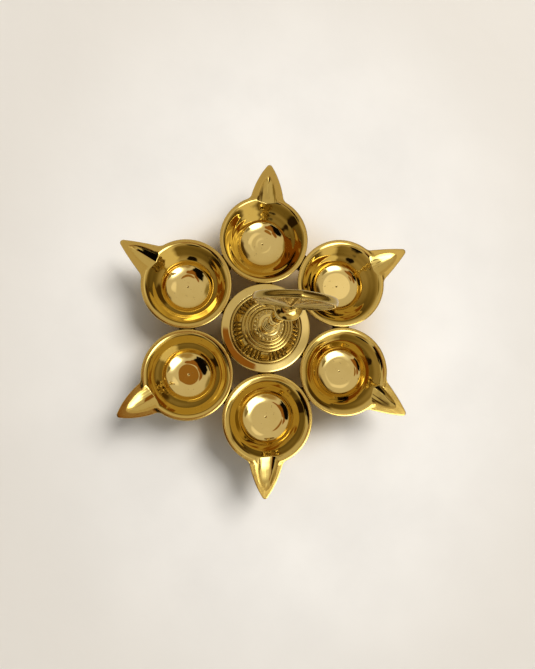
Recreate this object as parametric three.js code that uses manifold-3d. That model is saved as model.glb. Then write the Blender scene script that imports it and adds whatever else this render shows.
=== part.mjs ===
// A cast brass oil lamp: six round cups with pointed wick spouts stand in a ring
// round a turned centre piece, whose stem carries an upright ribbed plate.
// Millimetres, +Z up. The origin is on the lamp's axis, on the surface it stands on.
import * as THREE from 'three';
import { mergeVertices } from 'three/addons/utils/BufferGeometryUtils.js';
import Module from 'manifold-3d';

// Whole lamp
const cupCount = 6;
const rimHeight = 26;
const rimRadius = 25;
const rimGap = 0.3;
const fitGap = 0.3;

// Rim bead, shared by the cups and the centre flange
const rimEdgeRound = 0.6;
const rimBeadHeight = 2.3;
const rimUndercut = 1;

// Bowl of a cup, depths measured down from the rim
const lipWidth = 1.9;
const bandRadius = 20.2;
const bandDepth = 1.25;
const wallFootRadius = 14.7;
const wallFootDepth = 7.2;
const creaseRadius = 12.4;
const creaseDepth = 11.2;
const discRadius = 7.5;
const bowlDepth = 12.2;
const bowlFloor = 2.5;
const bowlBellyRadius = 20;
const bowlBellyDepth = 10.5;

// Foot of a cup
const footNeckRadius = 8.2;
const footNeckHeight = 8.8;
const footRadius = 12.6;
const footEdgeHeight = 1.5;
const footRecessRadius = 8.8;
const footRecessDepth = 1.1;

// Wick spout, lengths measured from the cup's axis
const spoutReach = 43.4;
const spoutTipRadius = 1.7;
const spoutTipStart = 30;
const spoutRootHalfWidth = 9.35;
const spoutShoulderHalfWidth = 6.45;
const spoutShoulderFromTip = 8.7;
const spoutRootDepth = 8.6;
const spoutTipDepth = 1.7;
const spoutEdgeDepth = 1.1;
const troughHalfWidth = 6;
const troughDepth = 3.4;
const troughEndDepth = 1.2;
const troughEndFromTip = 6;
const troughValleyShare = 0.3;

// How far each spout is turned from its spoke, as fitted by hand, in degrees
const firstCupAngle = 90;
const spoutTurns = [-5.5, -3.6, -0.1, -3, -5.6, -3.8];

// Brazed lugs between neighbouring rims
const lugWidth = 9;
const lugHeight = 4.6;
const lugLength = 7;

// Centre base
const seatRadius = 20.1;
const seatDepth = 1.2;
const baseWaistRadius = 13.6;
const baseWaistHeight = 11;
const baseWaistBand = 2.5;
const baseFootRadius = 21;
const baseFootEdge = 2.2;
const baseWall = 2.6;
const baseDeck = 3.2;
const baseShoulderRadius = 19;
const baseShoulderDrop = 7.5;

// Reeded dome, heights measured up from the rim plane
const domeBeadHeight = 0.8;
const domeBeadWidth = 1.4;
const reedBottomHeight = 0.3;
const reedTopRadius = 13.9;
const reedTopHeight = 8.4;
const reedBulge = 0.9;
const reedRelief = 0.9;
const panelCount = 7;
const panelHalfAngle = 8.5;
const ribsPerSector = 4;
const panelTurn = 7;
const ringRadii = [13.6, 11.8, 10];
const ringRise = 1.55;
const ringDip = 0.7;
const domeTopRadius = 8.4;
const domeTopHeight = 13.2;

// Pearl collar and stem, heights measured up from the rim plane
const collarNeckRadius = 6.6;
const pearlRingRadius = 8;
const pearlRingHeight = 17.4;
const pearlRingHalf = 1.1;
const collarTopRadius = 6.4;
const collarTopHeight = 20.2;
const stemSplitHeight = 50;
const knobBaseHeight = 92;
const spigotRadius = 1.2;
const spigotLength = 4;
const knobSpigotLength = 1.5;

// Knob and finial plate
const knobRadius = 5.6;
const knobHeight = 4.2;
const plateTurn = -6;
const plateHalfWidth = 14.6;
const plateWidestHeight = 110.5;
const plateTopHeight = 125;
const plateNeckHalfWidth = 3;
const plateWeb = 1.2;
const plateRimThickness = 2.6;
const plateRimWidth = 1.5;
const plateRibCount = 9;
const plateRibThickness = 2.2;
const plateRibWidth = 1;
const tenonLength = 1.4;

// Tie stud, washer and nut
const studRadius = 2;
const studTopDepth = 4.5;
const nutHeight = 3.2;
const nutAcrossCorners = 9;
const washerRadius = 6;
const washerThickness = 1.2;
const studTail = 1.5;

// Smoothness
const cupSides = 28;
const domeSides = 32;
const collarSides = 24;
const stemSides = 16;

const pitch = 2 * rimRadius + rimGap;
const deg = Math.PI / 180;
const wasm = await Module();
wasm.setup();

const brass = { color: 0xc79a3a, roughness: 0.2, metalness: 1 };
const finishes = {
  castBrass: new THREE.MeshStandardMaterial(brass),
  turnedBrass: new THREE.MeshStandardMaterial({ ...brass, color: 0xd0a548, roughness: 0.15 }),
  braze: new THREE.MeshStandardMaterial({ color: 0x3a2c18, roughness: 0.6, metalness: 0.8 }),
  steel: new THREE.MeshStandardMaterial({ color: 0x8a8a86, roughness: 0.4, metalness: 1 }),
};

// Solid and mesh helpers

// Shared vertices merged, flat triangles dropped, faces turned to point out.
function toSolid(geometry) {
  const bare = geometry.clone();
  bare.deleteAttribute('normal');
  bare.deleteAttribute('uv');
  const merged = mergeVertices(bare, 1e-4);
  const points = merged.attributes.position.array;
  const kept = [];
  let volume = 0;
  const corners = [new THREE.Vector3(), new THREE.Vector3(), new THREE.Vector3()];
  for (let i = 0; i < merged.index.count; i += 3) {
    const [a, b, c] = [0, 1, 2].map((k) => merged.index.getX(i + k));
    if (a !== b && b !== c && c !== a) {
      kept.push(a, b, c);
      [a, b, c].forEach((index, k) => corners[k].fromArray(points, 3 * index));
      volume += corners[0].dot(corners[1].cross(corners[2]));
    }
  }
  if (volume < 0) {
    kept.reverse();
  }
  const mesh = new wasm.Mesh({
    numProp: 3,
    vertProperties: new Float32Array(points),
    triVerts: new Uint32Array(kept),
  });
  return new wasm.Manifold(mesh);
}

function toGeometry(solid) {
  const mesh = solid.getMesh();
  const geometry = new THREE.BufferGeometry();
  geometry.setAttribute('position', new THREE.BufferAttribute(mesh.vertProperties, 3));
  geometry.setIndex(new THREE.BufferAttribute(mesh.triVerts, 1));
  return geometry;
}

// A turned body from a list of [radius, height] points.
function turned(profile, sides) {
  const points = profile.map(([radius, height]) => new THREE.Vector2(radius, height));
  const geometry = new THREE.LatheGeometry(points, sides);
  geometry.rotateX(Math.PI / 2);
  return toSolid(geometry);
}

// A closed profile for a turned body with a hole through it.
function ringProfile(outline) {
  return [...outline, outline[0]];
}

// A skin over rings of equally many points, closed by a flat cap at each end.
function loft(rings) {
  const count = rings[0].length;
  const positions = rings.flat().flatMap((point) => [point.x, point.y, point.z]);
  const index = [];
  for (let ring = 0; ring + 1 < rings.length; ring += 1) {
    for (let k = 0; k < count; k += 1) {
      const here = ring * count + k;
      const next = ring * count + ((k + 1) % count);
      index.push(here, next, next + count, here, next + count, here + count);
    }
  }
  const last = (rings.length - 1) * count;
  for (let k = 1; k + 1 < count; k += 1) {
    index.push(0, k + 1, k, last, last + k, last + k + 1);
  }
  const geometry = new THREE.BufferGeometry();
  geometry.setAttribute('position', new THREE.Float32BufferAttribute(positions, 3));
  geometry.setIndex(index);
  return toSolid(geometry);
}

function namedMesh(name, solid, finish) {
  const mesh = new THREE.Mesh(toGeometry(solid), finish.clone());
  mesh.name = name;
  return mesh;
}

// A cup's solids, in its own frame: axis on Z, spout along +X, heights from the rim plane

// Outside of the rim: flat top edge, round bead, then the step in to the wall.
function rimOutline() {
  return [
    [rimRadius - rimEdgeRound, 0],
    [rimRadius, -rimEdgeRound],
    [rimRadius, rimEdgeRound - rimBeadHeight],
    [rimRadius - rimUndercut, -rimBeadHeight],
  ];
}

function cupBelly() {
  const curve = new THREE.QuadraticBezierCurve(
    new THREE.Vector2(rimRadius - rimUndercut, -rimBeadHeight),
    new THREE.Vector2(bowlBellyRadius, -bowlBellyDepth),
    new THREE.Vector2(footNeckRadius + 1.6, -(bowlDepth + bowlFloor)),
  );
  return curve.getPoints(4).slice(1).map((point) => [point.x, point.y]);
}

function cupOutside() {
  const neck = footNeckHeight - rimHeight;
  return turned([
    [0, 0],
    ...rimOutline(),
    ...cupBelly(),
    [footNeckRadius, neck],
    [footNeckRadius + 0.6, (neck - rimHeight) / 2],
    [footRadius, footEdgeHeight - rimHeight],
    [footRadius, -rimHeight],
    [footRecessRadius, -rimHeight],
    [footRecessRadius, footRecessDepth - rimHeight],
    [0, footRecessDepth - rimHeight],
  ], cupSides);
}

function bowlCavity() {
  const above = 1;
  const lipInside = rimRadius - lipWidth;
  return turned([
    [0, above],
    [lipInside, above],
    [lipInside, 0],
    [bandRadius, -bandDepth],
    [wallFootRadius, -wallFootDepth],
    [creaseRadius, -creaseDepth],
    [(creaseRadius + discRadius) / 2, (-2 * bowlDepth - creaseDepth) / 3],
    [discRadius, -bowlDepth],
    [0, -bowlDepth],
  ], cupSides);
}

// Half the spout's width seen from above, as [distance from the axis, half width].
function spoutOutline() {
  const tipCentre = spoutReach - spoutTipRadius;
  const tipAngle = spoutTipStart * deg;
  const tipStart = new THREE.Vector2(
    tipCentre + spoutTipRadius * Math.sin(tipAngle),
    spoutTipRadius * Math.cos(tipAngle),
  );
  const root = new THREE.Vector2(rimRadius - 1, spoutRootHalfWidth);
  const shoulder = new THREE.Vector2(spoutReach - spoutShoulderFromTip, spoutShoulderHalfWidth);
  const side = new THREE.QuadraticBezierCurve(root, shoulder, tipStart).getPoints(6);
  const tipEnd = new THREE.Vector2(
    tipCentre + spoutTipRadius * Math.sin(80 * deg),
    spoutTipRadius * Math.cos(80 * deg),
  );
  const inWall = new THREE.Vector2(bandRadius + 1.5, spoutRootHalfWidth + 1);
  return [inWall, ...side, tipEnd];
}

// Across the spout: upright edge, then a keel like a boat's hull.
function hullRing(station, halfWidth, depth) {
  const half = [
    [halfWidth, 0],
    [halfWidth, -Math.min(spoutEdgeDepth, depth / 2)],
    [0.74 * halfWidth, -0.66 * depth],
    [0.34 * halfWidth, -0.94 * depth],
  ];
  const mirrored = half.map(([y, z]) => [-y, z]).reverse();
  return [...half, [0, -depth], ...mirrored].map(([y, z]) => new THREE.Vector3(station, y, z));
}

function spoutHull() {
  const outline = spoutOutline();
  const start = outline[0].x;
  const run = spoutReach - start;
  return loft(outline.map((point) => {
    const share = (point.x - start) / run;
    const depth = spoutRootDepth + (spoutTipDepth - spoutRootDepth) * share;
    return hullRing(point.x, point.y, depth);
  }));
}

// The wick trough: a rounded V that narrows and gets shallow towards the tip.
function spoutTrough() {
  const end = spoutReach - troughEndFromTip;
  const root = new THREE.Vector2(rimRadius - 1.5, troughHalfWidth);
  const bend = new THREE.Vector2(end - 3, 0.9 * troughHalfWidth);
  const point = new THREE.Vector2(end, 0.12 * troughHalfWidth);
  const side = new THREE.QuadraticBezierCurve(root, bend, point).getPoints(4);
  const inBowl = new THREE.Vector2(wallFootRadius, troughHalfWidth);
  return loft([inBowl, ...side].map(({ x, y }) => {
    const share = Math.max(0, (x - rimRadius) / (end - rimRadius));
    const depth = troughDepth + (troughEndDepth - troughDepth) * share;
    const half = [[y, 1], [y, 0], [troughValleyShare * y, -0.84 * depth]];
    const mirrored = half.map(([across, up]) => [-across, up]).reverse();
    const across = [...half, [0, -depth], ...mirrored];
    return across.map(([sideways, up]) => new THREE.Vector3(x, sideways, up));
  }));
}

function cupSolid() {
  return cupOutside().add(spoutHull()).subtract(bowlCavity()).subtract(spoutTrough());
}

// Brazed lug between two rims: fills the wedge under the beads, clear of both walls

function wallWithClearance() {
  const grown = [...rimOutline(), ...cupBelly()].map(([radius, height]) => [radius + fitGap, height]);
  const bottom = -(bowlDepth + bowlFloor);
  return turned([[0, fitGap], [rimRadius, fitGap], ...grown, [0, bottom]], cupSides);
}

function lugSolid(angleOfFirst, angleOfSecond) {
  const top = -rimBeadHeight - fitGap;
  const block = new THREE.BoxGeometry(lugLength, lugWidth, lugHeight);
  block.translate(pitch / 2, 0, top - lugHeight / 2);
  const wall = wallWithClearance();
  const first = wall.rotate([0, 0, angleOfFirst]);
  const second = wall.rotate([0, 0, angleOfSecond]).translate([pitch, 0, 0]);
  return toSolid(block).subtract(first).subtract(second);
}

// Centre piece

function studHole(bottom, top) {
  const radius = studRadius + fitGap;
  return turned([[0, bottom], [radius, bottom], [radius, top], [0, top]], stemSides);
}

function baseOuter() {
  const waist = baseWaistHeight - rimHeight;
  return [
    [baseShoulderRadius, -baseShoulderDrop],
    [baseWaistRadius, waist + baseWaistBand],
    [baseWaistRadius, waist],
    [(baseWaistRadius + baseFootRadius) / 2, (waist - rimHeight) / 2],
    [baseFootRadius - 0.6, baseFootEdge + 0.6 - rimHeight],
    [baseFootRadius, baseFootEdge - rimHeight],
  ];
}

function centreBase() {
  const waist = baseWaistHeight - rimHeight;
  const deckUnderside = -seatDepth - baseDeck;
  const outside = turned([
    [0, -seatDepth],
    [seatRadius, -seatDepth],
    [seatRadius, 0],
    ...rimOutline(),
    ...baseOuter(),
    [baseFootRadius, -rimHeight],
    [baseFootRadius - baseWall, -rimHeight],
    [baseWaistRadius - baseWall, waist],
    [baseWaistRadius - baseWall, waist + baseWaistBand],
    [baseShoulderRadius - baseWall, deckUnderside],
    [0, deckUnderside],
  ], domeSides);
  return outside.subtract(studHole(deckUnderside - 1, 1));
}

// The reeded band's radius at a height above the rim plane, on the crests.
function reedRadius(height) {
  const bottomRadius = seatRadius - fitGap - domeBeadWidth;
  const share = (height - reedBottomHeight) / (reedTopHeight - reedBottomHeight);
  const straight = bottomRadius + (reedTopRadius - bottomRadius) * share;
  return straight + reedBulge * Math.sin(Math.PI * share);
}

// Angles and relief round one of the seven sectors: a plain panel, then narrow ribs.
function reedColumns() {
  const sector = 360 / panelCount;
  const slope = 0.9;
  const ribPitch = (sector - 2 * (panelHalfAngle + slope)) / ribsPerSector;
  const columns = [];
  for (let panel = 0; panel < panelCount; panel += 1) {
    const middle = panel * sector + panelTurn;
    columns.push([middle - panelHalfAngle - slope, 0], [middle - panelHalfAngle, 1]);
    columns.push([middle + panelHalfAngle, 1]);
    for (let rib = 0; rib < ribsPerSector; rib += 1) {
      const start = middle + panelHalfAngle + slope + rib * ribPitch;
      columns.push([start, 0], [start + ribPitch / 2, 1]);
    }
  }
  return columns;
}

function reededBand() {
  const columns = reedColumns();
  const inside = ringRadii[0] - 4;
  const ring = (height, radiusOf) => columns.map(([angle, crest]) => {
    const radius = radiusOf(crest);
    return new THREE.Vector3(
      radius * Math.cos(angle * deg),
      radius * Math.sin(angle * deg),
      height,
    );
  });
  const heights = [0, 1, 2, 3].map((k) => reedBottomHeight + (reedTopHeight - reedBottomHeight) * k / 3);
  const skins = heights.map((height) => ring(height, (crest) => reedRadius(height) - reedRelief * (1 - crest)));
  return loft(skins).subtract(turned([
    [0, reedBottomHeight - 1],
    [inside, reedBottomHeight - 1],
    [inside, reedTopHeight + 1],
    [0, reedTopHeight + 1],
  ], domeSides));
}

function domeCore() {
  const beadOuter = seatRadius - fitGap;
  const beadInner = beadOuter - domeBeadWidth;
  const seatTop = fitGap - seatDepth;
  const steps = ringRadii.flatMap((radius, k) => {
    const base = reedTopHeight + k * ringRise;
    return [
      [radius, base + 0.2],
      [radius, base + ringRise - ringDip],
      [radius - 0.9, base + ringRise - 0.2],
    ];
  });
  return turned([
    [0, seatTop],
    [beadOuter, seatTop],
    [beadOuter, domeBeadHeight - 0.4],
    [beadOuter - domeBeadWidth / 2, domeBeadHeight],
    [beadInner, reedBottomHeight],
    [beadInner - 2 * reedRelief, reedBottomHeight],
    [ringRadii[0] - reedRelief, reedTopHeight],
    ...steps,
    [domeTopRadius, domeTopHeight],
    [0, domeTopHeight],
  ], domeSides);
}

function reededDome() {
  return domeCore().add(reededBand()).subtract(studHole(-rimHeight, 2 * domeTopHeight));
}

function pearlCollar() {
  const bottom = domeTopHeight + fitGap;
  const bore = studRadius + fitGap;
  return turned(ringProfile([
    [bore, bottom],
    [domeTopRadius - 0.8, bottom],
    [domeTopRadius - 0.8, bottom + 0.9],
    [collarNeckRadius, bottom + 1.6],
    [collarNeckRadius, pearlRingHeight - pearlRingHalf],
    [pearlRingRadius, pearlRingHeight - 0.5 * pearlRingHalf],
    [pearlRingRadius, pearlRingHeight + 0.5 * pearlRingHalf],
    [collarTopRadius + 0.4, pearlRingHeight + pearlRingHalf],
    [collarTopRadius, collarTopHeight - 0.7],
    [collarTopRadius - 0.7, collarTopHeight],
    [bore, collarTopHeight],
  ]), collarSides);
}

// Stem rings and bulbs as [radius, share of the way up the section].
const lowerStemShape = [
  [4.1, 0], [4.1, 0.045], [3.3, 0.07], [3.9, 0.12], [3.6, 0.17], [2.2, 0.22],
  [3.1, 0.245], [3.1, 0.275], [2, 0.31], [2.8, 0.385], [2.8, 0.415], [1.9, 0.44],
  [2.6, 0.58], [1.9, 0.72], [2.6, 0.745], [2.6, 0.775], [1.9, 0.81], [2.1, 0.91],
  [2.8, 0.94], [2.8, 1],
];
const upperStemShape = [
  [2.8, 0], [2.8, 0.04], [2, 0.06], [2.5, 0.14], [3.1, 0.24], [2.9, 0.34], [2, 0.46],
  [2.7, 0.475], [2.7, 0.495], [2, 0.51], [2, 0.62], [2.6, 0.635], [2.6, 0.655], [1.9, 0.67],
  [2.1, 0.8], [3.2, 0.955], [3.2, 1],
];

function stemOutline(shape, bottom, top) {
  return shape.map(([radius, share]) => [radius, bottom + (top - bottom) * share]);
}

function spigot(bottom, length) {
  const top = bottom + length;
  return [[spigotRadius, bottom], [spigotRadius, top - 0.3], [spigotRadius - 0.3, top], [0, top]];
}

// A blind hole that a spigot of the same length stands in.
function socket(mouth, radius, depth) {
  const end = mouth + depth;
  return turned([[0, mouth - 1], [radius, mouth - 1], [radius, end], [0, end]], stemSides);
}

function lowerStem() {
  const bottom = collarTopHeight + fitGap;
  const body = turned([
    [0, bottom],
    ...stemOutline(lowerStemShape, bottom, stemSplitHeight),
    ...spigot(stemSplitHeight, spigotLength),
  ], stemSides);
  return body.subtract(socket(bottom, studRadius + fitGap, studTopDepth + fitGap));
}

function upperStem() {
  const bottom = stemSplitHeight + fitGap;
  const body = turned([
    [0, bottom],
    ...stemOutline(upperStemShape, bottom, knobBaseHeight),
    ...spigot(knobBaseHeight, knobSpigotLength),
  ], stemSides);
  return body.subtract(socket(bottom, spigotRadius + fitGap, spigotLength));
}

function knobBottom() {
  return knobBaseHeight + fitGap;
}

function knobTop() {
  return knobBottom() + knobHeight;
}

function knob() {
  const bottom = knobBottom();
  const body = turned([
    [0, bottom],
    [3.2, bottom],
    [4.2, bottom + 0.2 * knobHeight],
    [knobRadius, bottom + 0.42 * knobHeight],
    [knobRadius, bottom + 0.62 * knobHeight],
    [0.86 * knobRadius, bottom + 0.82 * knobHeight],
    [0.6 * knobRadius, knobTop()],
    [0, knobTop()],
  ], collarSides);
  const spigotHole = socket(bottom, spigotRadius + fitGap, knobSpigotLength);
  return body.subtract(spigotHole).subtract(plateTenon(fitGap));
}

// Finial plate: drawn upright in the XZ plane, then turned a little about the axis

function plateOutline(inset) {
  const bottom = knobTop() + fitGap;
  const half = plateHalfWidth - inset;
  const top = plateTopHeight - inset;
  const low = bottom + inset;
  const neck = plateNeckHalfWidth - Math.min(inset, plateNeckHalfWidth - 0.4);
  const shape = new THREE.Shape();
  shape.moveTo(neck, low);
  shape.bezierCurveTo(0.62 * half, low, half, low + 0.3 * (plateWidestHeight - low), half, plateWidestHeight);
  shape.bezierCurveTo(half, plateWidestHeight + 0.62 * (top - plateWidestHeight), 0.42 * half, top - 1.2, 0, top);
  shape.bezierCurveTo(-0.42 * half, top - 1.2, -half, plateWidestHeight + 0.62 * (top - plateWidestHeight),
    -half, plateWidestHeight);
  shape.bezierCurveTo(-half, low + 0.3 * (plateWidestHeight - low), -0.62 * half, low, -neck, low);
  return shape;
}

// An upright slab of a shape drawn in X and Z, centred on the plate's mid plane.
function slab(shape, thickness) {
  const geometry = new THREE.ExtrudeGeometry(shape, { depth: thickness, bevelEnabled: false, curveSegments: 6 });
  geometry.translate(0, 0, -thickness / 2);
  geometry.rotateX(Math.PI / 2);
  return toSolid(geometry);
}

function plateRibs() {
  const root = knobTop() + 4;
  const reach = plateTopHeight - root;
  let ribs;
  for (let k = 0; k < plateRibCount; k += 1) {
    const lean = (k - (plateRibCount - 1) / 2) * (150 / (plateRibCount - 1));
    const shape = new THREE.Shape([
      new THREE.Vector2(-0.3 * plateRibWidth, 0),
      new THREE.Vector2(0.3 * plateRibWidth, 0),
      new THREE.Vector2(plateRibWidth, reach),
      new THREE.Vector2(-plateRibWidth, reach),
    ]);
    const rib = slab(shape, plateRibThickness).rotate([0, lean, 0]).translate([0, 0, root]);
    ribs = ribs ? ribs.add(rib) : rib;
  }
  return ribs;
}

function plateTenon(gap) {
  const side = plateWeb + 2 * gap;
  const height = tenonLength + 2 * gap;
  const geometry = new THREE.BoxGeometry(side, side, height);
  geometry.translate(0, 0, knobTop() + 2 * gap + fitGap - height / 2 - gap);
  return toSolid(geometry).rotate([0, 0, plateTurn]);
}

function finialPlate() {
  const whole = slab(plateOutline(0), plateRimThickness);
  const field = slab(plateOutline(plateRimWidth), plateRimThickness + 1);
  const web = slab(plateOutline(plateRimWidth / 2), plateWeb);
  const ribs = plateRibs().intersect(slab(plateOutline(plateRimWidth / 2), plateRimThickness));
  const plate = whole.subtract(field).add(web).add(ribs);
  return plate.rotate([0, 0, plateTurn]).add(plateTenon(0));
}

// Fastening under the dome

function tieStud() {
  const deck = -seatDepth - baseDeck;
  const bottom = deck - 2 * fitGap - washerThickness - nutHeight - studTail;
  const top = collarTopHeight + fitGap + studTopDepth;
  return turned([[0, bottom], [studRadius, bottom], [studRadius, top], [0, top]], stemSides);
}

function washer() {
  const top = -seatDepth - baseDeck - fitGap;
  const bore = studRadius + fitGap;
  return turned(ringProfile([
    [bore, top],
    [washerRadius, top],
    [washerRadius, top - washerThickness],
    [bore, top - washerThickness],
  ]), stemSides);
}

function nut() {
  const top = -seatDepth - baseDeck - 2 * fitGap - washerThickness;
  const bore = studRadius + fitGap;
  const blank = turned([
    [0, top],
    [nutAcrossCorners / 2, top],
    [nutAcrossCorners / 2, top - nutHeight],
    [0, top - nutHeight],
  ], 6);
  const hole = turned([[0, top + 1], [bore, top + 1], [bore, top - nutHeight - 1], [0, top - nutHeight - 1]],
    stemSides);
  return blank.subtract(hole);
}

// Assembly

const lamp = new THREE.Group();
lamp.position.z = rimHeight;

function cupAngle(index) {
  return firstCupAngle + index * (360 / cupCount);
}

for (let k = 0; k < cupCount; k += 1) {
  const angle = cupAngle(k);
  const cup = namedMesh(`lamp_cup_${k + 1}`, cupSolid(), finishes.castBrass);
  cup.position.set(pitch * Math.cos(angle * deg), pitch * Math.sin(angle * deg), 0);
  cup.rotation.z = (angle + spoutTurns[k]) * deg;
  lamp.add(cup);

  const cupFacing = angle + spoutTurns[k];
  const inner = namedMesh(`inner_lug_${k + 1}`, lugSolid(0, cupFacing - angle), finishes.braze);
  inner.rotation.z = angle * deg;
  lamp.add(inner);

  const nextTurn = spoutTurns[(k + 1) % cupCount];
  const towardsNext = angle + 120;
  const nextFacing = cupAngle(k + 1) + nextTurn;
  const outer = namedMesh(
    `outer_lug_${k + 1}`,
    lugSolid(cupFacing - towardsNext, nextFacing - towardsNext),
    finishes.braze,
  );
  outer.position.copy(cup.position);
  outer.rotation.z = towardsNext * deg;
  lamp.add(outer);
}

lamp.add(namedMesh('centre_base', centreBase(), finishes.castBrass));
lamp.add(namedMesh('reeded_dome', reededDome(), finishes.castBrass));
lamp.add(namedMesh('pearl_collar', pearlCollar(), finishes.turnedBrass));
lamp.add(namedMesh('stem_lower', lowerStem(), finishes.turnedBrass));
lamp.add(namedMesh('stem_upper', upperStem(), finishes.turnedBrass));
lamp.add(namedMesh('stem_knob', knob(), finishes.turnedBrass));
lamp.add(namedMesh('finial_plate', finialPlate(), finishes.castBrass));
lamp.add(namedMesh('tie_stud', tieStud(), finishes.steel));
lamp.add(namedMesh('base_washer', washer(), finishes.steel));
lamp.add(namedMesh('base_nut', nut(), finishes.steel));

export default lamp;
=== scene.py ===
"""A cast brass oil lamp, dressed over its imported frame: six footed wick cups in a ring round a
turned centre piece, whose stem carries an upright ribbed plate."""

import math
from collections import namedtuple
from functools import partial
from types import SimpleNamespace

import bmesh
import bpy
import numpy as np
from bpy.props import FloatProperty, FloatVectorProperty, IntProperty, PointerProperty
from mathutils import Matrix, Vector


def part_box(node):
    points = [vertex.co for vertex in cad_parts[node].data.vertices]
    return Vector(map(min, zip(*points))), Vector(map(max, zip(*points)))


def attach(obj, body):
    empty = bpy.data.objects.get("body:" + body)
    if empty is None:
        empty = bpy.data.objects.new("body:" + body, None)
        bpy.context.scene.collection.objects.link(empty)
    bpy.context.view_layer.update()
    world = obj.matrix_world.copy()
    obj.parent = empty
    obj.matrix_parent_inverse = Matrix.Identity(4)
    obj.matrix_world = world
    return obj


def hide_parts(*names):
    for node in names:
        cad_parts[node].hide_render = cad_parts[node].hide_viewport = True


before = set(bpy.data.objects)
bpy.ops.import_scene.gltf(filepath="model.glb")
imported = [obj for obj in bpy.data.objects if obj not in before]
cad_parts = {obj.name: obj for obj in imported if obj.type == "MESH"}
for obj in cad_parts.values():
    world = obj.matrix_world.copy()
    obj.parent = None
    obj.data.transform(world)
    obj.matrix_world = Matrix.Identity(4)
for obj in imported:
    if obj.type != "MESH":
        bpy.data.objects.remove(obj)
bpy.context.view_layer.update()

bl_info = {
    "name": "Brass Cup Lamp",
    "version": (1, 0, 0),
    "blender": (4, 5, 0),
    "location": "View3D > Sidebar > Cup Lamp",
    "description": "Builds a polished brass oil lamp with six wick cups over its solid frame",
    "category": "Object",
}

MM = 0.001
BODY = "root"
RIM_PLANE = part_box("lamp_cup_1")[1].z
# Height of the surface that the lamp stands on, in millimetres from the rim plane.
GROUND = -RIM_PLANE / MM


# Settings helpers


def linear(hex_colour):
    """The linear colour, with full alpha, of an sRGB colour such as #E7C573."""
    values = [int(hex_colour[k : k + 2], 16) / 255 for k in (1, 3, 5)]
    curve = [v / 12.92 if v <= 0.04045 else ((v + 0.055) / 1.055) ** 2.4 for v in values]
    return (*curve, 1.0)


def length(name, millimetres, description):
    return FloatProperty(
        name=name, description=description, default=millimetres * MM, precision=4, subtype="DISTANCE"
    )


def turn(name, degrees, description):
    return FloatProperty(name=name, description=description, default=math.radians(degrees), subtype="ANGLE")


def amount(name, value, description):
    return FloatProperty(name=name, description=description, default=value, min=0.0)


def colour(name, hex_colour, description):
    return FloatVectorProperty(
        name=name, description=description, default=linear(hex_colour), size=4, min=0.0, max=1.0,
        subtype="COLOR",
    )


def in_millimetres(group):
    """The lengths of a settings group as plain numbers in millimetres, by their names."""
    return SimpleNamespace(**{key: getattr(group, key) / MM for key in group.__annotations__})


class CupSizes(bpy.types.PropertyGroup):
    rim_radius: length("Rim radius", 25, "Outside of the rim, which the neighbours touch")
    rim_gap: length("Rim gap", 0.3, "Between two neighbouring rims")
    rim_round: length("Rim edge", 0.6, "Rounding of the rim's outer edge")
    band_slope: length("Band slope", 0.36, "How far the band by the lip falls for each millimetre")
    rim_crown: length("Rim crown", 0.22, "How far the rim's top falls to its outer edge")
    bowl_depth: length("Bowl depth", 12.2, "Depth of the flat disc in the middle")
    bowl_floor: length("Bowl floor", 2.5, "Metal under the disc")
    belly_radius: length("Belly radius", 20, "Pull of the round outside wall")
    belly_depth: length("Belly depth", 10.5, "Depth of that pull")
    neck_radius: length("Neck radius", 8.2, "Waist between the bowl and its foot")
    neck_depth: length("Neck depth", 17.2, "Depth of the waist below the rim")
    foot_radius: length("Foot radius", 12.6, "Outside of the foot")
    foot_edge: length("Foot edge", 1.5, "Upright edge of the foot")
    recess_radius: length("Recess radius", 8.8, "Hollow turned under the foot")
    recess_depth: length("Recess depth", 1.1, "Depth of that hollow")


class SpoutSizes(bpy.types.PropertyGroup):
    tip_radius: length("Tip radius", 1.7, "Rounding of the tip seen from above")
    root_half: length("Root half width", 9.35, "Half the width where it leaves the rim")
    shoulder_back: length("Shoulder place", 8.7, "How far the sides' pull lies behind the tip")
    fillet: length("Root fillet", 1.6, "Rounding between the spout and the rim")
    lip_fall: length("Lip fall", 0.32, "How far the top falls from the trough to the side")
    root_depth: length("Root depth", 8.6, "Depth of the keel at the cup")
    tip_depth: length("Tip depth", 1.7, "Depth of the keel at the tip")
    edge_depth: length("Edge depth", 1.1, "Upright edge along the sides")


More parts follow.
